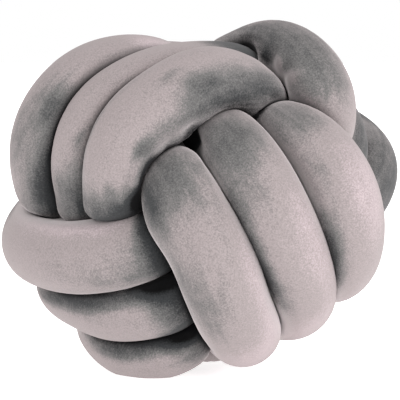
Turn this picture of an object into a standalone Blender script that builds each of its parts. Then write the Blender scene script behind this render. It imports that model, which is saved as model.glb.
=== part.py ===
"""Knot cushion: one long velvet tube, filled and tied into a ball of three crossing groups of turns.

Metres, +Z up. The cushion rests on z = 0 on the flat its own weight presses into it.
"""
import math

import bpy
import numpy as np

MM = 0.001
TINY = 1e-6

# ---- the knot as a whole
FRONT_AXIS = (0.567, -0.766, -0.303)    # the way the middle strand of the front group faces
TOP_AXIS = (-0.323, -0.545, 0.774)      # the way the middle strand of the top group faces
SINK = 7.0 * MM                         # how far the weight presses the underside flat
SQUARE = 0.07                           # strands run a little straighter than an ellipse
PASSAGE_PULL = 110 * MM                 # length of the sweep from one group into the next

# ---- the tube
RING_STEP = 15.6 * MM                   # between the sections modelled along the tube
RING_POINTS = 12
FABRIC_GAP = 4.0 * MM                   # left between stretches that press together
THINNEST = 3.0 * MM                     # smallest half width of a squeezed section
PITCH = 25.0 * MM                       # nearest two stretches pass inside the ball
NEARBY = 80 * MM                        # stretches closer than this along the tube are neighbours
SAME_BEND = 34 * MM                     # sections closer than this never press each other
TIGHTEST = 0.85                         # share of a bend's radius its inside may fill
FABRIC_ROUNDS = 24                      # passes of fabric tension around the pressed sections
FILL_PUSH = 0.06                        # how strongly the filling pushes back, each pass

# ---- half turns, millimetres, in the order the tube runs through them
#  reach   distance of the strand's middle from the centre of the ball
#  offset  place across its group
#  lean    drift across the group along the strand
#  shift   how far the middle slides along the strand's own run
#  girth   half width of the filled tube there
#  hold    how firmly it stays round where stretches press: the firmer one dents the other
FRONT_TURNS = (
    (111, 55, -1, 4, 29.0, 31),
    (106, 61, 0, 3, 28.0, 28),
    (125, 4, -3, 12, 28.0, 27.5),
    (119, 5, 0, 15, 28.0, 28),
    (136, -41, 33, 14, 28.0, 25),
    (117, -51, 0, -8, 27.5, 28),
)
TOP_TURNS = (
    (111, 20, 1, 4, 27.5, 28),
    (118, 38, 19, -18, 29.0, 32),
    (123, -16, -1, 11, 27.5, 28),
    (119, 3, 13, -28, 27.5, 27.5),
    (126, -58, 0, -3, 27.5, 28),
    (125, -30, -30, -41, 28.0, 25),
)
SIDE_TURNS = (
    (111, 33, 2, -31, 28.0, 25),
    (129, 41, -20, -4, 28.0, 26),
    (112, -1, -7, -14, 27.5, 27.5),
    (109, -11, 0, 0, 28.0, 28),
    (116, -33, -40, 23, 29.5, 32),
    (98, -76, -26, -35, 28.0, 29),
)

# ---- where each turn passes under the next group, millimetres
#  depth   distance from the centre of the ball
#  offset  place across its group
#  hold    as above
FRONT_TUCKS = ((86, 20, 29), (61, 34, 26), (82, -14, 35), (78, 5, 26), (55, -60, 29), (65, -25, 26),
               (53, -2, 28))
TOP_TUCKS = ((54, 47, 27), (69, 30, 15), (72, 34, 28), (72, -3, 23), (80, 6, 36), (87, -41, 27),
             (44, -23, 27))
SIDE_TUCKS = ((43, 29, 27), (81, 24, 24), (62, 20, 27), (89, -8, 24), (76, -8, 27), (75, -36, 24),
              (61, -23, 27))

# ---- the middle of the strands that are pushed in or out, as quarters travelled along the tube
STRANDS = {"front 1": 1, "front 3": 9, "top 1": 16, "top 2": 20, "top 3": 24,
           "low 2": 31, "low 1": 35, "right 1": 37}

# ---- where the tube is pinched or pushed in
#  along    millimetres from the strand's middle
#  round    degrees from the crown, the line that faces away from the ball
#  length, width   reach of the dent along and round the tube, millimetres
#  depth    millimetres pushed in, or with a minus, out
DENTS = (
    ("low 2", -62, 0, 26, 30, 7.0),
    ("front 1", -70, 86, 27, 18, -8.0),
    ("low 1", 122, 0, 16, 40, 8.0),
    ("low 1", 14, -94, 28, 14, 6.0),
    ("top 3", -88, 78, 13, 18, -5.0),
    ("top 1", 42, -46, 34, 14, -4.0),
    ("right 1", 66, -84, 16, 14, -8.0),
    ("top 1", 98, -10, 30, 24, 8.0),
    ("top 2", 78, 8, 26, 14, 2.5),
    ("top 2", 62, -16, 36, 13, 3.0),
    ("top 3", 50, 8, 40, 16, 2.0),
    ("front 3", -86, 6, 14, 24, 2.2),
)
TUBE_RADIUS = 28.0                      # millimetres, for dents laid round the tube

QUARTER_STEPS = 40                      # path points in a quarter turn
GROUP_QUARTERS = 13                     # three full turns and the sweep to the next group
PATH_STEP = 12 * MM                     # path spacing while the stretches are spread
SPREAD_ROUNDS = 60
SPREAD_REACH = 6                        # passes that carry each push along the tube


def unit(v):
    v = np.asarray(v, float)
    return v / np.linalg.norm(v)


def knot_axes():
    """Rows: the directions the front, top and side groups face."""
    front = unit(FRONT_AXIS)
    top = np.asarray(TOP_AXIS, float)
    top = unit(top - front * top.dot(front))
    return np.stack([front, top, np.cross(front, top)])


def ease(f):
    return f * f * (3 - 2 * f)


def between(values, first, t):
    """Smooth run through values given at every second quarter, starting at quarter `first`."""
    values = np.asarray(values, float)
    u = (t - first) / 2
    i = np.clip(np.floor(u).astype(int), 0, len(values) - 2)
    f = ease(np.clip(u - i, 0, 1))
    return values[i] * (1 - f) + values[i + 1] * f


def group_path(turns, tucks):
    """One group of three turns: points (out, along, across), then girth, hold and quarters travelled."""
    reach, offset, lean, shift, girth, firm = np.array(turns, float).T
    depth, tucked, firm_tucked = np.array(tucks, float).T
    quarters = 2 * len(turns)
    t = np.linspace(0, quarters, quarters * QUARTER_STEPS + 1)
    place = np.zeros(quarters + 1)
    drift = np.zeros(quarters + 1)
    slide = np.zeros(quarters + 1)
    hold = np.zeros(quarters + 1)
    place[1::2], place[0::2] = offset, tucked
    drift[1::2] = lean
    slide[1::2] = shift
    hold[1::2], hold[0::2] = firm, firm_tucked
    k = np.clip(np.floor(t).astype(int), 0, quarters - 1)
    f = t - k
    rise = ease(f)
    across = place[k] * (1 - rise) + place[k + 1] * rise
    across = across + (f**3 - 2 * f**2 + f) * drift[k] + (f**3 - f**2) * drift[k + 1]
    slid = slide[k] * (1 - rise) + slide[k + 1] * rise
    held = hold[k] * (1 - rise) + hold[k + 1] * rise
    angle = t * math.pi / 2
    straighter = 1 + SQUARE * np.sin(2 * angle)**2
    out = between(reach, 1, t) * np.sin(angle) * straighter
    along = between(depth, 0, t) * np.cos(angle) * straighter + slid
    return np.stack([out, along, across], 1) * MM, np.stack([between(girth, 1, t) * MM, held * MM, t], 1)


def passage(a, b):
    """Sweep from the end of one group to the start of the next."""
    start = unit(a[-1] - a[-2]) * PASSAGE_PULL
    end = unit(b[1] - b[0]) * PASSAGE_PULL
    f = np.linspace(0, 1, QUARTER_STEPS)[:-1, None]
    return (a[-1] * (1 - ease(f)) + b[0] * ease(f)
            + (f**3 - 2 * f**2 + f) * start + (f**3 - f**2) * end)


def knot_path():
    """The closed middle line of the whole tube, with its girth, hold and quarters travelled."""
    front, top, side = np.eye(3)
    groups = (
        (FRONT_TURNS, FRONT_TUCKS, (front, top, side)),
        (TOP_TURNS, TOP_TUCKS, (-top, -side, front)),
        (SIDE_TURNS, SIDE_TUCKS, (side, -front, -top)),
    )
    runs = []
    for g, (turns, tucks, axes) in enumerate(groups):
        points, traits = group_path(turns, tucks)
        runs.append((points @ np.stack(axes), traits + (0, 0, g * GROUP_QUARTERS)))
    runs.append((runs[0][0], runs[0][1] + (0, 0, 3 * GROUP_QUARTERS)))
    line, along = [], []
    for (points, traits), (following, next_traits) in zip(runs, runs[1:]):
        sweep = passage(points, following)
        line += [points[:-1], sweep]
        along += [traits[:-1], np.linspace(traits[-1], next_traits[0], len(sweep) + 1)[:-1]]
    return np.concatenate(line), np.concatenate(along)


def respace(line, traits, step):
    """The closed line again with even spacing."""
    loop = np.vstack([line, line[:1]])
    traits = np.vstack([traits, traits[:1] + (0, 0, 3 * GROUP_QUARTERS)])
    run = np.concatenate([[0], np.cumsum(np.linalg.norm(np.diff(loop, axis=0), axis=1))])
    at = np.linspace(0, run[-1], int(round(run[-1] / step)), endpoint=False)
    even = [np.interp(at, run, values) for values in np.hstack([loop, traits]).T]
    return np.stack(even[:3], 1), np.stack(even[3:], 1)


def even_out(line, rounds):
    for _ in range(rounds):
        line = line * 0.5 + (np.roll(line, 1, 0) + np.roll(line, -1, 0)) * 0.25
    return line


def spread(line):
    """Ease stretches apart where they would run through one another inside the ball."""
    count = len(line)
    steps = np.abs(np.arange(count)[:, None] - np.arange(count)[None])
    far = np.minimum(steps, count - steps) * PATH_STEP > NEARBY
    for _ in range(SPREAD_ROUNDS):
        apart = line[:, None] - line[None]
        gap = np.linalg.norm(apart, axis=2) + TINY
        push = np.where(far & (gap < PITCH), (PITCH - gap) / gap, 0)
        line = line + even_out((apart * push[:, :, None]).sum(1) / 2, SPREAD_REACH)
    return line


def sections(line, points):
    """Directions out of the middle line at every section, without twist where the loop closes."""
    run = np.roll(line, -1, 0) - np.roll(line, 1, 0)
    run /= np.linalg.norm(run, axis=1)[:, None]
    side = np.zeros_like(run)
    side[0] = unit(np.cross(run[0], FRONT_AXIS))
    for i in range(1, len(line)):
        side[i] = unit(side[i - 1] - run[i] * side[i - 1].dot(run[i]))
    last = unit(side[-1] - run[0] * side[-1].dot(run[0]))
    twist = math.atan2(last.dot(np.cross(run[0], side[0])), last.dot(side[0]))
    turn = (-twist * np.arange(len(line)) / len(line))[:, None]
    other = np.cross(run, side)
    side, other = side * np.cos(turn) + other * np.sin(turn), other * np.cos(turn) - side * np.sin(turn)
    around = np.arange(points) * 2 * math.pi / points
    return (side[:, None] * np.cos(around)[None, :, None]
            + other[:, None] * np.sin(around)[None, :, None])


def pressed(line, width, hold, out, step):
    """Half widths around each section: every stretch keeps to its own side of the contact."""
    count = len(line)
    widest = 2 * width.max()
    bend = (np.roll(line, 1, 0) + np.roll(line, -1, 0) - 2 * line) / step**2
    inward = np.maximum((out * bend[:, None]).sum(2), TIGHTEST / widest)
    limit = TIGHTEST / inward
    for i in range(count):
        toward = line - line[i]
        away = np.abs(np.arange(count) - i)
        away = np.minimum(away, count - away) * step
        near = (away > SAME_BEND) & ((toward**2).sum(1) < (2 * widest)**2)
        facing = out[i] @ toward[near].T
        share = ((toward[near]**2).sum(1) + hold[i]**2 - hold[near]**2) / 2
        reach = np.where(facing > TINY, share / np.maximum(facing, TINY), widest)
        limit[i] = np.minimum(limit[i], reach.min(1))
    limit = np.maximum(limit - FABRIC_GAP / 2, THINNEST)
    full = width[:, None]
    half = np.minimum(limit, full)
    for _ in range(FABRIC_ROUNDS):
        around = (np.roll(half, 1, 1) + np.roll(half, -1, 1)) / 4
        lengthways = (np.roll(half, 1, 0) + np.roll(half, -1, 0)) / 4
        half = np.minimum(half / 2 + (around + lengthways) / 2, np.minimum(limit, full))
        half = np.minimum(half + FILL_PUSH * (full - half), limit)
    return half


def dents(line, out, station):
    """Millimetres pushed in at every point of the tube, less those pushed out."""
    step = np.linalg.norm(np.roll(line, -1, 0) - line, axis=1)
    along = np.concatenate([[0], np.cumsum(step)]) / MM
    along, length = along[:-1], along[-1]
    run = np.roll(line, -1, 0) - np.roll(line, 1, 0)
    run /= np.linalg.norm(run, axis=1)[:, None]
    crown = line - run * (line * run).sum(1)[:, None]
    crown /= np.linalg.norm(crown, axis=1)[:, None]
    turn = np.arctan2((out * np.cross(run, crown)[:, None]).sum(2), (out * crown[:, None]).sum(2))
    total = np.zeros(turn.shape)
    for strand, at, round_at, reach, width, depth in DENTS:
        at = at + np.interp(STRANDS[strand], station, along)
        x = ((along - at + length / 2) % length - length / 2)[:, None]
        y = ((turn - math.radians(round_at) + math.pi) % (2 * math.pi) - math.pi) * TUBE_RADIUS
        total += depth * np.exp(-(x / reach)**2 - (y / width)**2)
    return total


def tube_surface():
    """Points of the whole tube, section by section, resting on z = 0 and centred on the origin."""
    line, traits = knot_path()
    line, traits = respace(line, traits, PATH_STEP)
    line = spread(even_out(line, 1))
    line, traits = respace(line, traits, RING_STEP)
    out = sections(line, RING_POINTS)
    flats = math.pi / RING_POINTS
    full_area = math.sqrt(flats / (math.sin(flats) * math.cos(flats)))
    width, hold, station = traits.T
    half = pressed(line, width * full_area, hold * full_area, out, RING_STEP)
    half = half - dents(line, out, station) * MM
    points = (line[:, None] + out * half[:, :, None]) @ knot_axes()
    points[:, :, 2] -= points[:, :, 2].min() + SINK
    points[:, :, 2] = np.maximum(points[:, :, 2], 0)
    middle = (points.min((0, 1)) + points.max((0, 1))) / 2
    points[:, :, :2] -= middle[:2]
    return points


def velvet():
    material = bpy.data.materials.new("grey_velvet")
    material.use_nodes = True
    shader = material.node_tree.nodes["Principled BSDF"]
    shader.inputs["Base Color"].default_value = (0.29, 0.255, 0.255, 1)
    shader.inputs["Roughness"].default_value = 0.85
    shader.inputs["Sheen Weight"].default_value = 0.5
    return material


def build_tube():
    points = tube_surface()
    rings, around = points.shape[:2]
    faces = []
    for i in range(rings):
        for j in range(around):
            nxt, beside = (i + 1) % rings, (j + 1) % around
            faces.append((i * around + j, i * around + beside, nxt * around + beside, nxt * around + j))
    mesh = bpy.data.meshes.new("knotted_tube")
    mesh.from_pydata(points.reshape(-1, 3).tolist(), [], faces)
    mesh.shade_smooth()
    mesh.materials.append(velvet())
    tube = bpy.data.objects.new("knotted_tube", mesh)
    bpy.context.scene.collection.objects.link(tube)
    return tube


for old in list(bpy.data.objects):
    bpy.data.objects.remove(old)
build_tube()
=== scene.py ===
import math

import bpy
import numpy as np
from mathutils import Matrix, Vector


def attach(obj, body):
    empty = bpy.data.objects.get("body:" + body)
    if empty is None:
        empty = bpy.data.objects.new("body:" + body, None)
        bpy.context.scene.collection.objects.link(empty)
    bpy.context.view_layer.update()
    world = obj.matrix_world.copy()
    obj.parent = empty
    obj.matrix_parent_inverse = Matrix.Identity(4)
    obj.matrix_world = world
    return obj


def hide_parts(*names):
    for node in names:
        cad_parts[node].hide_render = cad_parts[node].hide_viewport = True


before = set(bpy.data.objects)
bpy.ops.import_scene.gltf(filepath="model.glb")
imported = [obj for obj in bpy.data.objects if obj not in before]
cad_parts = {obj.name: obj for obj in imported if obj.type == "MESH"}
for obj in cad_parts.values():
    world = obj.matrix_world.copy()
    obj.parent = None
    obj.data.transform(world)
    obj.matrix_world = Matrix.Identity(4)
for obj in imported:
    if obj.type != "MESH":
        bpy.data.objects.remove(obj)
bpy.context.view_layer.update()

# Knot cushion: one long velvet tube, filled and tied into a ball of three crossing groups of turns.
# Metres, +Z up. The turns, the tucks and the path through them are those of the imported part. Here the tube is
# pressed in finer steps, with more dents, its pile is brushed, and shade and sheen are painted into its colour.
# FRONT_AXIS, TOP_AXIS and the tables of turns and tucks come from a least-squares fit to the real cushion's
# strands, rounded, with some rows then changed. The dents, the brushed marks and the painted shade are given
# one by one.

MM = 0.001
TINY = 1e-6

# ---- the knot as a whole
FRONT_AXIS = (0.567, -0.766, -0.303)    # the way the middle strand of the front group faces
TOP_AXIS = (-0.323, -0.545, 0.774)      # the way the middle strand of the top group faces
SINK = 7.0 * MM                         # how far the weight presses the underside flat
SQUARE = 0.07                           # strands run a little straighter than an ellipse
PASSAGE_PULL = 110 * MM                 # length of the sweep from one group into the next

# ---- the tube
RING_STEP = 3.3 * MM                    # between the rings of fabric modelled along the tube
RING_POINTS = 48
FABRIC_GAP = 0.8 * MM                   # left between stretches that press together
THINNEST = 3.0 * MM                     # smallest half width of a squeezed section
PITCH = 25.0 * MM                       # nearest two stretches pass inside the ball
NEARBY = 80 * MM                        # stretches closer than this along the tube are neighbours
SAME_BEND = 34 * MM                     # rings closer than this never press each other
TIGHTEST = 0.85                         # share of a bend's radius its inside may fill
FABRIC_ROUNDS = 40                      # passes of fabric tension around the pressed sections
FILL_PUSH = 0.06                        # how strongly the filling pushes back, each pass
BEND_ROUNDS = 12                        # smoothing passes over the bend before it limits a section
LINE_ROUNDS = 8                         # smoothing passes over the middle line, ring by ring

# ---- half turns, millimetres, in the order the tube runs through them
#  reach   distance of the strand's middle from the centre of the ball
#  offset  place across its group
#  lean    drift across the group along the strand
#  shift   how far the middle slides along the strand's own run
#  girth   half width of the filled tube there
#  hold    how firmly it stays round where stretches press: the firmer one dents the other
FRONT_TURNS = (
    (111, 55, -1, 4, 29.0, 31),
    (106, 61, 0, 3, 28.0, 28),
    (125, 4, -3, 12, 28.0, 27.5),
    (119, 5, 0, 15, 28.0, 28),
    (136, -41, 33, 14, 28.0, 25),
    (117, -51, 0, -8, 27.5, 28),
)
TOP_TURNS = (
    (111, 20, 1, 4, 27.5, 28),
    (118, 38, 19, -18, 29.0, 32),
    (123, -16, -1, 11, 27.5, 28),
    (119, 3, 13, -28, 27.5, 27.5),
    (126, -58, 0, -3, 27.5, 28),
    (125, -30, -30, -41, 28.0, 25),
)
SIDE_TURNS = (
    (111, 33, 2, -31, 28.0, 25),
    (129, 41, -20, -4, 28.0, 26),
    (112, -1, -7, -14, 27.5, 27.5),
    (109, -11, 0, 0, 28.0, 28),
    (116, -33, -40, 23, 29.5, 32),
    (98, -76, -26, -35, 28.0, 29),
)

# ---- where each turn passes under the next group, millimetres
#  depth   distance from the centre of the ball
#  offset  place across its group
#  hold    as above
FRONT_TUCKS = ((86, 20, 29), (61, 34, 26), (82, -14, 35), (78, 5, 26), (55, -60, 29), (65, -25, 26),
               (53, -2, 28))
TOP_TUCKS = ((54, 47, 27), (69, 30, 15), (72, 34, 28), (72, -3, 23), (80, 6, 36), (87, -41, 27),
             (44, -23, 27))
SIDE_TUCKS = ((43, 29, 27), (81, 24, 24), (62, 20, 27), (89, -8, 24), (76, -8, 27), (75, -36, 24),
              (61, -23, 27))

# ---- the path
QUARTER_STEPS = 40                      # path points in a quarter turn
GROUP_QUARTERS = 13                     # three full turns and the sweep to the next group
PATH_STEP = 12 * MM                     # path spacing while the stretches are spread
SPREAD_ROUNDS = 60                      # passes that ease the stretches apart
SPREAD_REACH = 6                        # smoothing passes that carry each push along the tube

# ---- marks laid on the tube
TUBE_RADIUS = 28.0                      # millimetres, the filled tube's usual half width
DENT_EDGE = 1.0                         # at 1, dents are bell-shaped
BRUSH_EDGE = 1.4                        # above 1, marks have flatter middles and firmer edges

# ---- brushed marks strewn at random over the back of the ball
STREWN_SEED = 5
STREWN_MARKS = 150
STREWN_ROUND = (-110, 110)              # degrees from the crown
STREWN_LENGTH = (16, 60)                # millimetres along the tube
STREWN_WIDTH = (6, 22)                  # millimetres round the tube
STREWN_AMOUNTS = (0.75, 0.5, 0.35, -0.5)  # as in the table of brushed marks
STREWN_SLANT = (-10, 10)                # degrees
STREWN_LIMITS = (-0.6, 0.9)             # lightest and darkest where marks overlap
STREWN_EDGE = 1.0                       # bell-shaped, like the dents
STREWN_FADE = 3.0                       # how soon they reach full strength past the side of a stretch

# ---- shelter: how far neighbouring stretches close in over each point
BEAD_RINGS = 4                          # the tube is taken as beads, each this many rings long
SHELTER_RISE = 1.4                      # how fast shelter grows as neighbours close in

# ---- the middle of every strand that shows, as quarters travelled along the tube
STRANDS = {
    "front 1": 1, "front 2": 5, "front 3": 9,
    "top 1": 16, "top 2": 20, "top 3": 24,
    "low 1": 35, "low 2": 31, "low 3": 27,
    "right 1": 37, "right 2": 33, "right 3": 29,
}

# ---- where the tube is pinched or pushed in, in the same columns as the brushed marks below
#  depth    millimetres pushed in, less than 0 for a ridge
DENTS = (
    ("low 2", -62, 0, 26, 30, 0, 7.0),
    ("front 1", -70, 86, 27, 18, 0, -8.0),
    ("front 1", -30, -76, 32, 12, 0, -2.5),
    ("front 2", 10, -56, 34, 16, 0, -3.0),
    ("front 2", -72, -46, 32, 14, 0, -2.5),
    ("low 1", 122, 0, 16, 40, 0, 8.0),
    ("low 1", 18, -94, 32, 14, 0, 5.0),
    ("low 1", 26, -72, 56, 9, 0, -3.0),
    ("low 1", 88, -84, 16, 12, 0, -4.0),
    ("top 2", -82, 12, 9, 14, 0, -4.5),
    ("top 1", -72, -12, 9, 14, 0, -3.0),
    ("top 3", -88, 78, 13, 18, 0, -5.0),
    ("top 2", -84, 34, 10, 16, 0, -4.0),
    ("top 1", 42, -46, 34, 14, 0, -4.0),
    ("right 1", 66, -84, 16, 14, 0, -8.0),
    ("right 1", 2, -114, 24, 11, 0, -6.0),
    ("top 1", 98, -10, 30, 24, 0, 8.0),
    ("top 2", 78, 8, 26, 14, 0, 2.5),
    ("top 2", 62, -16, 36, 13, 0, 3.0),
    ("top 3", 50, 8, 40, 16, 0, 2.0),
    ("front 3", -86, 6, 14, 24, 0, 2.2),
    ("front 2", -106, 60, 13, 10, 0, 9.0),
    ("front 1", -110, -50, 9, 9, 0, 5.0),
    ("top 1", 12, 88, 8, 8, 0, 2.5),
    ("top 1", 1, 92, 4, 8, 15, -1.6),
    ("top 1", -9, 84, 3.6, 9, 15, 1.6),
    ("top 1", -18, 80, 4, 8, 25, 0.9),
    ("right 1", -7, -89, 3.4, 9, -22, -1.3),
    ("right 1", 0, -88, 3.6, 8, -22, 0.9),
    ("right 1", -14, -93, 3.6, 9, -22, 1.0),
    ("right 1", -20, -82, 3.6, 10, 0, -0.8),
    ("top 2", -25, 42, 5, 3.6, 20, 1.5),
    ("top 2", -43, 34, 4, 3.6, 0, 1.2),
    ("top 2", -51, 28, 6, 3.6, 30, 1.4),
    ("top 1", -17, 48, 10, 3.8, 35, 1.2),
    ("top 1", -46, 57, 8, 4, -30, 1.0),
    ("front 1", 35, 38, 4, 3.6, 0, 0.8),
)

# ---- where the pile has been brushed dark, and painted shade in the creases and corners where strands meet
#  along    millimetres from the strand's middle
#  round    degrees from the crown, the line that faces away from the ball
#  length, width   reach of the mark along and round the tube, millimetres
#  slant    degrees
#  amount   0 leaves the pile light, 1 turns it fully dark, less than 0 lightens it
# many of these marks are painted shade in creases, corners and holes between strands, the rest brushed nap;
# some lightening marks are painted light set against shade in folds
BRUSHED_AND_SHADE_MARKS = (
    ("front 1", -88, 22, 25, 34, 0, 0.62),
    ("front 1", -50, 76, 40, 14, 0, 0.40),
    ("front 1", -84, 52, 20, 12, 0, 0.30),
    ("front 1", -8, 54, 34, 16, 0, 0.28),
    ("front 1", -50, -30, 18, 11, 0, 0.12),
    ("front 1", -12, 26, 22, 12, 0, 0.20),
    ("front 1", 52, -10, 32, 60, 0, -1.0),
    ("front 1", -10, -62, 54, 14, 0, -0.65),
    ("front 2", -88, 18, 22, 34, 0, 0.50),
    ("front 2", -66, 0, 26, 40, 0, 0.28),
    ("front 2", -114, 68, 9, 11, 0, 3.00),
    ("front 2", -18, 80, 36, 12, 0, 1.00),
    ("front 2", -54, 62, 18, 12, 0, 0.30),
    ("front 2", 8, 66, 26, 9, 0, 0.14),
    ("front 2", 34, 60, 42, 13, 0, 0.40),
    ("front 2", -10, -34, 50, 20, 0, -0.55),
    ("front 2", 56, 0, 24, 60, 0, -0.80),
    ("front 3", -80, 34, 22, 26, 0, 0.52),
    ("front 3", -60, 8, 12, 14, 0, 0.16),
    ("front 3", -28, 60, 40, 9, 0, 0.20),
    ("front 3", 15, 74, 44, 8, -12, 0.85),
    ("front 3", 24, 58, 26, 11, 0, 0.18),
    ("front 3", -102, 58, 10, 10, 0, 2.00),
    ("front 3", -20, -10, 34, 22, 0, -0.60),
    ("front 3", 50, 20, 24, 40, 0, -0.40),
    ("top 1", 58, 46, 36, 18, 8, 0.72),
    ("top 1", 86, 30, 20, 30, 0, 0.24),
    ("top 1", 10, 62, 50, 8, 0, 0.48),
    ("top 1", -24, 56, 8, 6, 40, 0.36),
    ("top 1", 14, -4, 9, 3.5, -25, 0.36),
    ("top 1", 26, 24, 12, 8, 0, 0.22),
    ("top 1", -52, 26, 6, 4, 30, 0.24),
    ("top 1", -72, 10, 18, 50, 0, 0.50),
    ("top 1", -62, 54, 12, 12, 0, 0.40),
    ("top 1", -63, 70, 10, 7, 0, 2.40),
    ("top 1", -78, 36, 7, 30, 0, 0.90),
    ("top 1", 24, 34, 14, 12, 0, 0.30),
    ("top 1", -66, 30, 9, 28, 0, 0.35),
    ("top 1", -42, 84, 18, 7, 0, 1.50),
    ("top 1", 42, 84, 26, 8, 0, 0.35),
    ("top 1", 10, 101, 84, 8, 0, 0.90),
    ("top 1", -40, -38, 30, 7, 0, 0.70),
    ("top 2", -68, 26, 20, 30, 0, 0.62),
    ("top 2", -77, 34, 8, 20, 0, 0.10),
    ("top 2", -48, 54, 34, 9, 0, 0.35),
    ("top 2", -30, 38, 5, 4, 0, 0.30),
    ("top 2", -72, 50, 6, 4, 0, 0.30),
    ("top 2", -40, -24, 26, 6, 0, 0.80),
    ("top 2", 104, -8, 34, 30, 0, 1.15),
    ("top 3", -76, 72, 24, 18, 0, 0.68),
    ("top 3", -82, 14, 12, 18, 0, 0.40),
    ("top 3", -46, 8, 30, 18, 0, 0.22),
    ("top 3", -18, 46, 10, 8, 0, 0.50),
    ("top 3", -34, 70, 36, 12, 0, 0.55),
    ("top 3", -34, 20, 30, 16, 0, 0.25),
    ("top 3", -20, 86, 60, 7, 0, 0.90),
    ("top 3", 58, 24, 16, 26, 0, -0.80),
    ("low 1", 99, 0, 10, 80, 0, 0.70),
    ("low 1", 112, 0, 12, 80, 0, 1.50),
    ("low 1", 86, 20, 6, 8, 30, 0.20),
    ("low 1", 62, 8, 10, 8, 0, 0.14),
    ("low 1", -38, -46, 18, 16, 0, 0.60),
    ("low 1", 102, -56, 10, 16, 0, 0.60),
    ("low 1", 56, 14, 34, 20, 0, 0.15),
    ("low 1", 78, 26, 14, 20, 0, 0.20),
    ("low 1", 40, -70, 66, 11, 0, -0.70),
    ("low 2", 82, 8, 20, 60, 0, 0.90),
    ("low 2", 76, -68, 18, 9, 0, 2.00),
    ("low 2", 70, -58, 16, 14, 0, 0.70),
    ("low 2", 70, 42, 18, 8, 0, 1.20),
    ("low 2", 12, -44, 62, 11, -12, 1.0),
    ("low 3", 60, -54, 14, 11, 0, 2.00),
    ("low 3", 50, -72, 24, 8, 0, 1.20),
    ("low 3", 67, -18, 20, 30, 0, 0.80),
    ("low 3", 24, -52, 44, 9, 0, 0.85),
    ("right 1", 22, -74, 32, 15, 0, 0.20),
    ("right 1", 16, -114, 30, 7, 0, -0.15),
    ("right 1", -52, -70, 14, 40, 0, -0.45),
    ("right 1", 6, -42, 62, 34, 0, 0.58),
    ("right 1", -30, -40, 30, 40, 0, 0.10),
    ("right 1", -6, -110, 14, 8, 0, -0.50),
    ("right 1", 56, -46, 12, 12, 0, 0.40),
    ("right 1", -8, -96, 3, 8, -22, -0.9),
    ("right 1", 3, -96, 4, 10, -22, 0.5),
    ("right 1", -20, -84, 5, 10, 0, -0.4),
    ("right 2", -60, 4, 46, 20, 0, 0.90),
    ("right 3", -48, -46, 46, 40, 0, 0.72),
    ("right 3", -74, 2, 26, 20, 0, 0.40),
    ("right 3", -4, -50, 12, 14, 0, 0.55),
)

# ---- the velvet, colours as red, green, blue and 1
PILE_ROUGHNESS = 0.9
PILE_SHINE = 0.05
SHEEN = 0.06
SHEEN_ROUGHNESS = 0.4
SHEEN_TINT = (1.0, 0.94, 0.94, 1)
PILE_LIGHT = (0.47, 0.386, 0.402, 1)    # pile brushed the light way
#  from, to   tone over which the next, darker colour takes over
PILE_STEPS = (
    (-0.9, -0.1, (0.296, 0.256, 0.256, 1)),
    (0.0, 0.55, (0.145, 0.141, 0.139, 1)),
    (0.4, 1.1, (0.038, 0.040, 0.042, 1)),
    # the last, near black step is painted shade for the deepest creases and holes between strands
    (1.1, 2.2, (0.003, 0.003, 0.003, 1)),
)
#  from, to   shelter over which painted shade darkens the pile where neighbours close in
#  share      how far it goes toward the colour
SHELTER_SHADE_STEPS = (
    (0.0, 0.9, 0.5, (0.012, 0.012, 0.013, 1)),
    (0.7, 1.0, 0.6, (0.004, 0.004, 0.005, 1)),
)
# painted shade in the pinched creases where stretches press together
SQUEEZE_SHADE_STEP = (0.08, 0.24, 0.96, (0.004, 0.004, 0.005, 1))   # the same, by how far the tube is squeezed

# ---- the unevenness of the pile
#  scale      features a metre, roughly
#  detail, roughness
#  amount     how far it moves the tone
CLOUDS = (24.0, 2.0, 0.5, 0.3)
MOTTLE = (110.0, 3.0, 0.5, 0.35)
STROKES = (150.0, 3.0, 0.6, 0.5)
GRAIN = (850.0, 4.0, 0.75, 0.8)
STROKE_STRETCH = (0.16, 1.0, 1.0)       # brush strokes run along the tube
SPECK_RANGE = (0.3, 0.7)                # grain over which tufts go from light to dark
SPECK_SHADES = (1.16, 0.82)
BUMP_STRENGTH = 0.35
BUMP_HEIGHT = 0.4 * MM

# ---- the rim: painted sheen, the pile seen from the side laid lighter along the edge of every strand
RIM_BLEND = 0.5
RIM_SHARPNESS = 1.5
RIM_AMOUNT = 0.95
RIM_OPEN = (0.36, 0.315, 0.315, 1)
# painted light: the sheltered edges are laid far lighter, against the shade there
RIM_SHELTERED = (0.97, 0.90, 0.90, 1)
# painted shade on the rim where the pile is brushed dark, deepest where sheltered
BRUSHED_RIM_OPEN = (0.12, 0.12, 0.122, 1)
BRUSHED_RIM_SHELTERED = (0.012, 0.012, 0.013, 1)
BRUSHED_RIM_SHELTER = (0.3, 0.9)        # shelter over which the first of these turns into the second
BRUSHED_RIM_TONE = (0.2, 1.0)           # tone over which the brushed rim takes over
# near black painted shade on the rim in the deepest creases and holes
BLACK_RIM = (0.006, 0.006, 0.006, 1)
BLACK_RIM_TONE = (1.2, 2.2)

# ---- the camera, about level with the top of the ball, far enough for a long lens
CAMERA_ELEVATION = 5.0                  # degrees
CAMERA_DISTANCE = 1.5
CAMERA_VIEW = 0.3016                    # width seen at the middle of the ball
CAMERA_SHIFT = 0.0025                   # share of that width the ball sits left of the middle

# ---- the studio
SKY = 1.0                               # brightness of the white all round
FLOOR_WHITE = (0.88, 0.88, 0.88, 1)
FLOOR_ROUGHNESS = 0.9
FLOOR_SHINE = 0.1
FLOOR_GLOW = 0.7                        # light coming up through the floor
FLOOR_REACH = 12.0
LIGHT_SIZE = 1.2                        # across each round, soft light
#  place, and power in watts
LIGHTS = {
    "key": ((1.3, -1.2, 0.9), 16),
    "fill": ((-1.2, -1.2, 1.2), 5),
}


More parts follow.
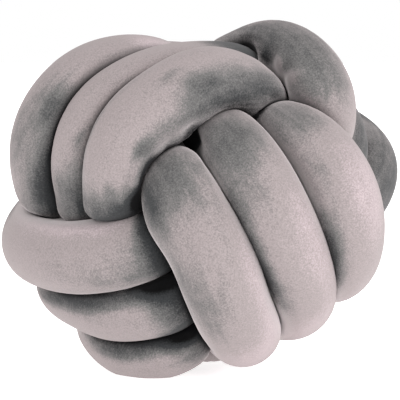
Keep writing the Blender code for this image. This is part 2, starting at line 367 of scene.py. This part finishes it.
def unit(v):
    """The direction of v, one long."""
    v = np.asarray(v, float)
    return v / np.linalg.norm(v)


def knot_axes():
    """Rows: the directions the front, top and side groups face."""
    front = unit(FRONT_AXIS)
    top = np.asarray(TOP_AXIS, float)
    top = unit(top - front * top.dot(front))
    return np.stack([front, top, np.cross(front, top)])


def ease(f):
    """A smooth start and stop between 0 and 1."""
    return f * f * (3 - 2 * f)


def between(values, first, t):
    """Smooth run through values given at every second quarter, starting at quarter `first`."""
    values = np.asarray(values, float)
    u = (t - first) / 2
    i = np.clip(np.floor(u).astype(int), 0, len(values) - 2)
    f = ease(np.clip(u - i, 0, 1))
    return values[i] * (1 - f) + values[i + 1] * f


def group_path(turns, tucks):
    """One group of three turns: points (out, along, across), then girth, hold and quarters travelled."""
    reach, offset, lean, shift, girth, firm = np.array(turns, float).T
    depth, tucked, firm_tucked = np.array(tucks, float).T
    quarters = 2 * len(turns)
    t = np.linspace(0, quarters, quarters * QUARTER_STEPS + 1)
    place = np.zeros(quarters + 1)
    drift = np.zeros(quarters + 1)
    slide = np.zeros(quarters + 1)
    hold = np.zeros(quarters + 1)
    place[1::2], place[0::2] = offset, tucked
    drift[1::2] = lean
    slide[1::2] = shift
    hold[1::2], hold[0::2] = firm, firm_tucked
    k = np.clip(np.floor(t).astype(int), 0, quarters - 1)
    f = t - k
    rise = ease(f)
    across = place[k] * (1 - rise) + place[k + 1] * rise
    across = across + (f**3 - 2 * f**2 + f) * drift[k] + (f**3 - f**2) * drift[k + 1]
    slid = slide[k] * (1 - rise) + slide[k + 1] * rise
    held = hold[k] * (1 - rise) + hold[k + 1] * rise
    angle = t * math.pi / 2
    straighter = 1 + SQUARE * np.sin(2 * angle)**2
    out = between(reach, 1, t) * np.sin(angle) * straighter
    along = between(depth, 0, t) * np.cos(angle) * straighter + slid
    return np.stack([out, along, across], 1) * MM, np.stack([between(girth, 1, t) * MM, held * MM, t], 1)


def passage(a, b):
    """Sweep from the end of one group to the start of the next."""
    start = unit(a[-1] - a[-2]) * PASSAGE_PULL
    end = unit(b[1] - b[0]) * PASSAGE_PULL
    f = np.linspace(0, 1, QUARTER_STEPS)[:-1, None]
    return (a[-1] * (1 - ease(f)) + b[0] * ease(f)
            + (f**3 - 2 * f**2 + f) * start + (f**3 - f**2) * end)


def knot_path():
    """The closed middle line of the whole tube, with its girth, hold and quarters travelled."""
    front, top, side = np.eye(3)
    groups = (
        (FRONT_TURNS, FRONT_TUCKS, (front, top, side)),
        (TOP_TURNS, TOP_TUCKS, (-top, -side, front)),
        (SIDE_TURNS, SIDE_TUCKS, (side, -front, -top)),
    )
    runs = []
    for g, (turns, tucks, axes) in enumerate(groups):
        points, traits = group_path(turns, tucks)
        runs.append((points @ np.stack(axes), traits + (0, 0, g * GROUP_QUARTERS)))
    runs.append((runs[0][0], runs[0][1] + (0, 0, 3 * GROUP_QUARTERS)))
    line, along = [], []
    for (points, traits), (following, next_traits) in zip(runs, runs[1:]):
        sweep = passage(points, following)
        line += [points[:-1], sweep]
        along += [traits[:-1], np.linspace(traits[-1], next_traits[0], len(sweep) + 1)[:-1]]
    return np.concatenate(line), np.concatenate(along)


def respace(line, traits, step):
    """The closed line again with even spacing."""
    loop = np.vstack([line, line[:1]])
    traits = np.vstack([traits, traits[:1] + (0, 0, 3 * GROUP_QUARTERS)])
    run = np.concatenate([[0], np.cumsum(np.linalg.norm(np.diff(loop, axis=0), axis=1))])
    at = np.linspace(0, run[-1], int(round(run[-1] / step)), endpoint=False)
    even = [np.interp(at, run, values) for values in np.hstack([loop, traits]).T]
    return np.stack(even[:3], 1), np.stack(even[3:], 1)


def even_out(line, rounds):
    """A closed row of values, smoothed by its neighbours."""
    for _ in range(rounds):
        line = line * 0.5 + (np.roll(line, 1, 0) + np.roll(line, -1, 0)) * 0.25
    return line


def spread(line):
    """Ease stretches apart where they would run through one another inside the ball."""
    count = len(line)
    steps = np.abs(np.arange(count)[:, None] - np.arange(count)[None])
    far = np.minimum(steps, count - steps) * PATH_STEP > NEARBY
    for _ in range(SPREAD_ROUNDS):
        apart = line[:, None] - line[None]
        gap = np.linalg.norm(apart, axis=2) + TINY
        push = np.where(far & (gap < PITCH), (PITCH - gap) / gap, 0)
        line = line + even_out((apart * push[:, :, None]).sum(1) / 2, SPREAD_REACH)
    return line


def sections(line, points):
    """Directions out of the middle line at every ring, without twist where the loop closes."""
    run = np.roll(line, -1, 0) - np.roll(line, 1, 0)
    run /= np.linalg.norm(run, axis=1)[:, None]
    side = np.zeros_like(run)
    side[0] = unit(np.cross(run[0], FRONT_AXIS))
    for i in range(1, len(line)):
        side[i] = unit(side[i - 1] - run[i] * side[i - 1].dot(run[i]))
    last = unit(side[-1] - run[0] * side[-1].dot(run[0]))
    twist = math.atan2(last.dot(np.cross(run[0], side[0])), last.dot(side[0]))
    turn = (-twist * np.arange(len(line)) / len(line))[:, None]
    other = np.cross(run, side)
    side, other = side * np.cos(turn) + other * np.sin(turn), other * np.cos(turn) - side * np.sin(turn)
    around = np.arange(points) * 2 * math.pi / points
    return (side[:, None] * np.cos(around)[None, :, None]
            + other[:, None] * np.sin(around)[None, :, None])


def pressed(line, width, hold, out, step):
    """Half widths around each ring: every stretch keeps to its own side of the contact."""
    count = len(line)
    widest = 2 * width.max()
    bend = (np.roll(line, 1, 0) + np.roll(line, -1, 0) - 2 * line) / step**2
    bend = even_out(bend, BEND_ROUNDS)
    inward = np.maximum((out * bend[:, None]).sum(2), TIGHTEST / widest)
    limit = TIGHTEST / inward
    for i in range(count):
        toward = line - line[i]
        away = np.abs(np.arange(count) - i)
        away = np.minimum(away, count - away) * step
        near = (away > SAME_BEND) & ((toward**2).sum(1) < (2 * widest)**2)
        facing = out[i] @ toward[near].T
        share = ((toward[near]**2).sum(1) + hold[i]**2 - hold[near]**2) / 2
        reach = np.where(facing > TINY, share / np.maximum(facing, TINY), widest)
        limit[i] = np.minimum(limit[i], reach.min(1))
    limit = np.maximum(limit - FABRIC_GAP / 2, THINNEST)
    full = width[:, None]
    half = np.minimum(limit, full)
    for _ in range(FABRIC_ROUNDS):
        around = (np.roll(half, 1, 1) + np.roll(half, -1, 1)) / 4
        lengthways = (np.roll(half, 1, 0) + np.roll(half, -1, 0)) / 4
        half = np.minimum(half / 2 + (around + lengthways) / 2, np.minimum(limit, full))
        half = np.minimum(half + FILL_PUSH * (full - half), limit)
    return half


def tube_places(line, out):
    """Millimetres along the tube at every ring, and degrees round from the crown at every point."""
    step = np.linalg.norm(np.roll(line, -1, 0) - line, axis=1)
    along = np.concatenate([[0], np.cumsum(step)]) / MM
    run = np.roll(line, -1, 0) - np.roll(line, 1, 0)
    run /= np.linalg.norm(run, axis=1)[:, None]
    crown = line - run * (line * run).sum(1)[:, None]
    crown /= np.linalg.norm(crown, axis=1)[:, None]
    turn = np.arctan2((out * np.cross(run, crown)[:, None]).sum(2), (out * crown[:, None]).sum(2))
    return along[:-1], along[-1], np.degrees(turn)


def marks(table, edge, places, station):
    """Soft oval marks laid on the tube, added up at every point."""
    along, length, turn = places
    total = np.zeros(turn.shape)
    for strand, at, round_at, reach, width, slant, amount in table:
        at = at + np.interp(STRANDS[strand], station, along)
        x = (along - at + length / 2) % length - length / 2
        x = np.repeat(x[:, None], turn.shape[1], 1)
        y = ((turn - round_at + 180) % 360 - 180) * math.pi / 180 * TUBE_RADIUS
        lean = math.radians(slant)
        x, y = x * math.cos(lean) + y * math.sin(lean), y * math.cos(lean) - x * math.sin(lean)
        total += amount * np.exp(-((x / reach)**2 + (y / width)**2)**edge)
    return total


def strewn(places, station, points, middle):
    """Brushed marks strewn at random over the side of every stretch that faces the back."""
    random = np.random.default_rng(STREWN_SEED)
    table = []
    for _ in range(STREWN_MARKS):
        # places run over the whole tube, so any strand will do to measure them from
        at = random.uniform(0, places[1])
        round_at = random.uniform(*STREWN_ROUND)
        length = random.uniform(*STREWN_LENGTH)
        width = random.uniform(*STREWN_WIDTH)
        amount = random.choice(STREWN_AMOUNTS)
        slant = random.uniform(*STREWN_SLANT)
        table.append(("front 1", at, round_at, length, width, slant, amount))
    total = np.clip(marks(table, STREWN_EDGE, places, station), *STREWN_LIMITS)
    facing = (points - middle[:, None])[:, :, 1] / (TUBE_RADIUS * MM)
    return total * np.clip(facing * STREWN_FADE, 0, 1)


def straightened(places):
    """Every point's place in metres on the tube as if it were pulled straight, for the lie of the pile."""
    along, length, turn = places
    turn = np.radians(turn)
    radius = TUBE_RADIUS * MM
    along = np.repeat(along[:, None] * MM, turn.shape[1], 1)
    return np.stack([along, radius * np.cos(turn), radius * np.sin(turn)], 2)


def tube_surface():
    """Rings of points along the whole tube, resting on z = 0 and centred on the origin."""
    line, traits = knot_path()
    line, traits = respace(line, traits, PATH_STEP)
    line = spread(even_out(line, 1))
    line, traits = respace(line, traits, RING_STEP)
    width, hold, station = traits.T
    line = even_out(line, LINE_ROUNDS)
    out = sections(line, RING_POINTS)
    places = tube_places(line, out)
    half = pressed(line, width, hold, out, RING_STEP)
    dented = half - marks(DENTS, DENT_EDGE, places, station) * MM
    squeeze = 1 - np.maximum(half, dented) / width[:, None]
    points = (line[:, None] + out * dented[:, :, None]) @ knot_axes()
    middle = line @ knot_axes()
    drop = points[:, :, 2].min() + SINK
    points[:, :, 2] = np.maximum(points[:, :, 2] - drop, 0)
    middle[:, 2] -= drop
    centre = (points.min((0, 1)) + points.max((0, 1))) / 2
    points[:, :, :2] -= centre[:2]
    middle[:, :2] -= centre[:2]
    ball = Vector((-centre[0], -centre[1], -drop))
    return points, middle, station, ball, places, squeeze


def shelter(points, middle):
    """How much of the open air above every point the other stretches take up.

    The tube is taken as a row of beads. Each takes up the area it shows from the side, less with distance.
    """
    normal = np.cross(np.roll(points, -1, 1) - np.roll(points, 1, 1),
                      np.roll(points, -1, 0) - np.roll(points, 1, 0))
    normal /= np.linalg.norm(normal, axis=2)[:, :, None] + TINY
    if ((points - middle[:, None]) * normal).sum() < 0:
        normal = -normal
    count = len(middle)
    bead = np.arange(0, count, BEAD_RINGS)
    size = TUBE_RADIUS * MM * BEAD_RINGS * RING_STEP * 2 / math.pi
    covered = np.zeros(points.shape[:2])
    for i in range(count):
        away = np.abs(bead - i)
        far = np.minimum(away, count - away) * RING_STEP > NEARBY / 2
        toward = middle[bead[far]][None] - points[i][:, None]
        gap = (toward**2).sum(2)
        facing = np.maximum((toward * normal[i][:, None]).sum(2), 0) / np.sqrt(gap)
        covered[i] = (facing * size / np.maximum(gap, (TUBE_RADIUS * MM)**2)).sum(1)
    return 1 - np.exp(-SHELTER_RISE * covered)


def set_values(tube, name, values, kind="FLOAT", field="value"):
    """Store a value at every point of the mesh, for the velvet to read."""
    attribute = tube.data.attributes.new(name, kind, "POINT")
    attribute.data.foreach_set(field, np.ascontiguousarray(values, np.float32).ravel())


def build_tube(points):
    """The closed tube of four-sided faces through the rings of points."""
    rings, around = points.shape[:2]
    i, j = np.meshgrid(np.arange(rings), np.arange(around), indexing="ij")
    nxt, beside = (i + 1) % rings, (j + 1) % around
    faces = np.stack([i * around + j, i * around + beside, nxt * around + beside, nxt * around + j], 2)
    mesh = bpy.data.meshes.new("velvet_tube")
    mesh.from_pydata(points.reshape(-1, 3).tolist(), [], faces.reshape(-1, 4).tolist())
    mesh.shade_smooth()
    tube = bpy.data.objects.new("velvet_tube", mesh)
    bpy.context.scene.collection.objects.link(tube)
    return tube


def feed(tree, socket, value):
    """Give a shader socket a constant, or a link from another node."""
    if isinstance(value, (float, tuple)):
        socket.default_value = value
    else:
        tree.links.new(value, socket)


def stored(tree, name, output="Fac"):
    """A value stored on the mesh."""
    node = tree.nodes.new("ShaderNodeAttribute")
    node.attribute_name = name
    return node.outputs[output]


def noise(tree, place, kind):
    """One kind of unevenness, between 0 and 1."""
    scale, detail, roughness, _ = kind
    node = tree.nodes.new("ShaderNodeTexNoise")
    node.inputs["Scale"].default_value = scale
    node.inputs["Detail"].default_value = detail
    node.inputs["Roughness"].default_value = roughness
    feed(tree, node.inputs["Vector"], place)
    return node.outputs["Fac"]


def ramp(tree, value, span, ends=(0.0, 1.0)):
    """A smooth run from one end to the other while the value crosses the span."""
    node = tree.nodes.new("ShaderNodeMapRange")
    node.interpolation_type = "SMOOTHSTEP"
    for name, number in zip(("From Min", "From Max", "To Min", "To Max"), (*span, *ends)):
        node.inputs[name].default_value = number
    feed(tree, node.inputs["Value"], value)
    return node.outputs["Result"]


def combine(tree, operation, a, b):
    """A sum, difference, product or power of two numbers."""
    node = tree.nodes.new("ShaderNodeMath")
    node.operation = operation
    for socket, value in zip(node.inputs, (a, b)):
        feed(tree, socket, value)
    return node.outputs["Value"]


def mix(tree, share, a, b, blend="MIX"):
    """Colour a, with a share of colour b laid over it."""
    node = tree.nodes.new("ShaderNodeMix")
    node.data_type = "RGBA"
    node.blend_type = blend
    feed(tree, node.inputs["Factor"], share)
    feed(tree, node.inputs[6], a)
    feed(tree, node.inputs[7], b)
    return node.outputs[2]


def laid_place(tree):
    """Places on the tube pulled straight, drawn out along it."""
    node = tree.nodes.new("ShaderNodeVectorMath")
    node.operation = "MULTIPLY"
    node.inputs[1].default_value = STROKE_STRETCH
    feed(tree, node.inputs[0], stored(tree, "lay", "Vector"))
    return node.outputs["Vector"]


def pile_tone(tree, place, grain):
    """How dark the pile lies: the brushed marks with their painted shade, and every kind of unevenness, added
    up.
    """
    tone = stored(tree, "brushed_and_shade")
    layers = (
        (noise(tree, place, CLOUDS), CLOUDS),
        (noise(tree, place, MOTTLE), MOTTLE),
        (noise(tree, laid_place(tree), STROKES), STROKES),
        (grain, GRAIN),
    )
    for value, kind in layers:
        amount = kind[-1]
        wobble = combine(tree, "MULTIPLY", combine(tree, "SUBTRACT", value, 0.5), amount)
        tone = combine(tree, "ADD", tone, wobble)
    return tone


def pile_colour(tree, tone, sheltered, grain):
    """The colour of the pile seen from above, with painted shade where neighbours close in over it, and its
    lighter and darker tufts.
    """
    colour = PILE_LIGHT
    for low, high, darker in PILE_STEPS:
        colour = mix(tree, ramp(tree, tone, (low, high)), colour, darker)
    # painted shade where the other stretches close in over the pile
    for low, high, share, shade in SHELTER_SHADE_STEPS:
        colour = mix(tree, ramp(tree, sheltered, (low, high), (0.0, share)), colour, shade)
    speck = ramp(tree, grain, SPECK_RANGE, SPECK_SHADES)
    tuft = tree.nodes.new("ShaderNodeCombineColor")
    for channel in ("Red", "Green", "Blue"):
        feed(tree, tuft.inputs[channel], speck)
    return mix(tree, 1.0, colour, tuft.outputs["Color"], "MULTIPLY")


def painted_sheen_colour(tree, tone, sheltered):
    """The painted sheen's colour: lighter where neighbours shelter the edge, with painted shade where the pile
    is brushed dark and sheltered, near black in the deepest marks.
    """
    rim = mix(tree, sheltered, RIM_OPEN, RIM_SHELTERED)
    closing_in = ramp(tree, sheltered, BRUSHED_RIM_SHELTER)
    brushed_rim = mix(tree, closing_in, BRUSHED_RIM_OPEN, BRUSHED_RIM_SHELTERED)
    rim = mix(tree, ramp(tree, tone, BRUSHED_RIM_TONE), rim, brushed_rim)
    return mix(tree, ramp(tree, tone, BLACK_RIM_TONE), rim, BLACK_RIM)


def painted_sheen_share(tree):
    """How much of the painted sheen shows: all but none face on, nearly all at the very edge."""
    edge = tree.nodes.new("ShaderNodeLayerWeight")
    edge.inputs["Blend"].default_value = RIM_BLEND
    narrow = combine(tree, "POWER", edge.outputs["Facing"], RIM_SHARPNESS)
    return combine(tree, "MULTIPLY", narrow, RIM_AMOUNT)


def velvet():
    """Short-pile velvet: brushed light and dark by turns, with painted shade in the creases and a soft painted
    sheen along every edge.
    """
    material = bpy.data.materials.new("grey_velvet")
    material.use_nodes = True
    tree = material.node_tree
    shader = tree.nodes["Principled BSDF"]
    shader.inputs["Roughness"].default_value = PILE_ROUGHNESS
    shader.inputs["Specular IOR Level"].default_value = PILE_SHINE
    shader.inputs["Sheen Weight"].default_value = SHEEN
    shader.inputs["Sheen Roughness"].default_value = SHEEN_ROUGHNESS
    shader.inputs["Sheen Tint"].default_value = SHEEN_TINT
    place = tree.nodes.new("ShaderNodeTexCoord").outputs["Object"]
    grain = noise(tree, place, GRAIN)
    tone = pile_tone(tree, place, grain)
    sheltered = stored(tree, "shelter")
    colour = pile_colour(tree, tone, sheltered, grain)
    # painted sheen along the edges, lighter where sheltered, with painted shade where brushed dark
    colour = mix(tree, painted_sheen_share(tree), colour, painted_sheen_colour(tree, tone, sheltered))
    # painted shade in the pinched creases where stretches press together
    low, high, share, shade = SQUEEZE_SHADE_STEP
    colour = mix(tree, ramp(tree, stored(tree, "squeeze"), (low, high), (0.0, share)), colour, shade)
    feed(tree, shader.inputs["Base Color"], colour)
    bump = tree.nodes.new("ShaderNodeBump")
    bump.inputs["Strength"].default_value = BUMP_STRENGTH
    bump.inputs["Distance"].default_value = BUMP_HEIGHT
    feed(tree, bump.inputs["Height"], grain)
    feed(tree, shader.inputs["Normal"], bump.outputs["Normal"])
    return material


def pale_floor():
    """A wide white sweep, lit so brightly that it runs into the white behind it."""
    material = bpy.data.materials.new("pale_floor")
    material.use_nodes = True
    shader = material.node_tree.nodes["Principled BSDF"]
    shader.inputs["Base Color"].default_value = FLOOR_WHITE
    shader.inputs["Roughness"].default_value = FLOOR_ROUGHNESS
    shader.inputs["Specular IOR Level"].default_value = FLOOR_SHINE
    shader.inputs["Emission Color"].default_value = (1, 1, 1, 1)
    shader.inputs["Emission Strength"].default_value = FLOOR_GLOW
    corners = [(x * FLOOR_REACH, y * FLOOR_REACH, 0) for x, y in ((-1, -1), (1, -1), (1, 1), (-1, 1))]
    mesh = bpy.data.meshes.new("floor")
    mesh.from_pydata(corners, [], [(0, 1, 2, 3)])
    mesh.materials.append(material)
    floor = bpy.data.objects.new("floor", mesh)
    bpy.context.scene.collection.objects.link(floor)


def soft_light(name, place, target, power):
    """A round light that faces the target."""
    data = bpy.data.lights.new(name, "AREA")
    data.shape = "DISK"
    data.size = LIGHT_SIZE
    data.energy = power
    light = bpy.data.objects.new(name, data)
    light.location = place
    light.rotation_euler = (Vector(target) - Vector(place)).to_track_quat("-Z", "Y").to_euler()
    bpy.context.scene.collection.objects.link(light)


def studio(ball):
    """White all round, with a light to the right and a weaker one to the left."""
    world = bpy.data.worlds.new("studio")
    bpy.context.scene.world = world
    world.use_nodes = True
    back = world.node_tree.nodes["Background"]
    back.inputs["Color"].default_value = (1, 1, 1, 1)
    back.inputs["Strength"].default_value = SKY
    for name, (place, power) in LIGHTS.items():
        soft_light(name, place, ball, power)
    bpy.context.scene.view_settings.view_transform = "Standard"


def add_camera(ball):
    """A camera in front of the ball, looking slightly down at its middle."""
    data = bpy.data.cameras.new("camera")
    data.lens = data.sensor_width * CAMERA_DISTANCE / CAMERA_VIEW
    data.shift_x = CAMERA_SHIFT
    camera = bpy.data.objects.new("camera", data)
    lift = math.radians(CAMERA_ELEVATION)
    camera.location = ball + CAMERA_DISTANCE * Vector((0, -math.cos(lift), math.sin(lift)))
    camera.rotation_euler = (math.pi / 2 - lift, 0, 0)
    bpy.context.scene.collection.objects.link(camera)
    bpy.context.scene.camera = camera


points, middle, station, ball, places, squeeze = tube_surface()
tube = build_tube(points)
# brushed pile with painted shade in creases and corners, plus random brushed marks on the back
brushed_and_shade = marks(BRUSHED_AND_SHADE_MARKS, BRUSH_EDGE, places, station) + strewn(places, station, points, middle)
set_values(tube, "brushed_and_shade", brushed_and_shade)
set_values(tube, "shelter", shelter(points, middle))
set_values(tube, "squeeze", squeeze)
set_values(tube, "lay", straightened(places), "FLOAT_VECTOR", "vector")
tube.data.materials.append(velvet())
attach(tube, "root")
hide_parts("knotted_tube")
pale_floor()
studio(ball)
add_camera(ball)
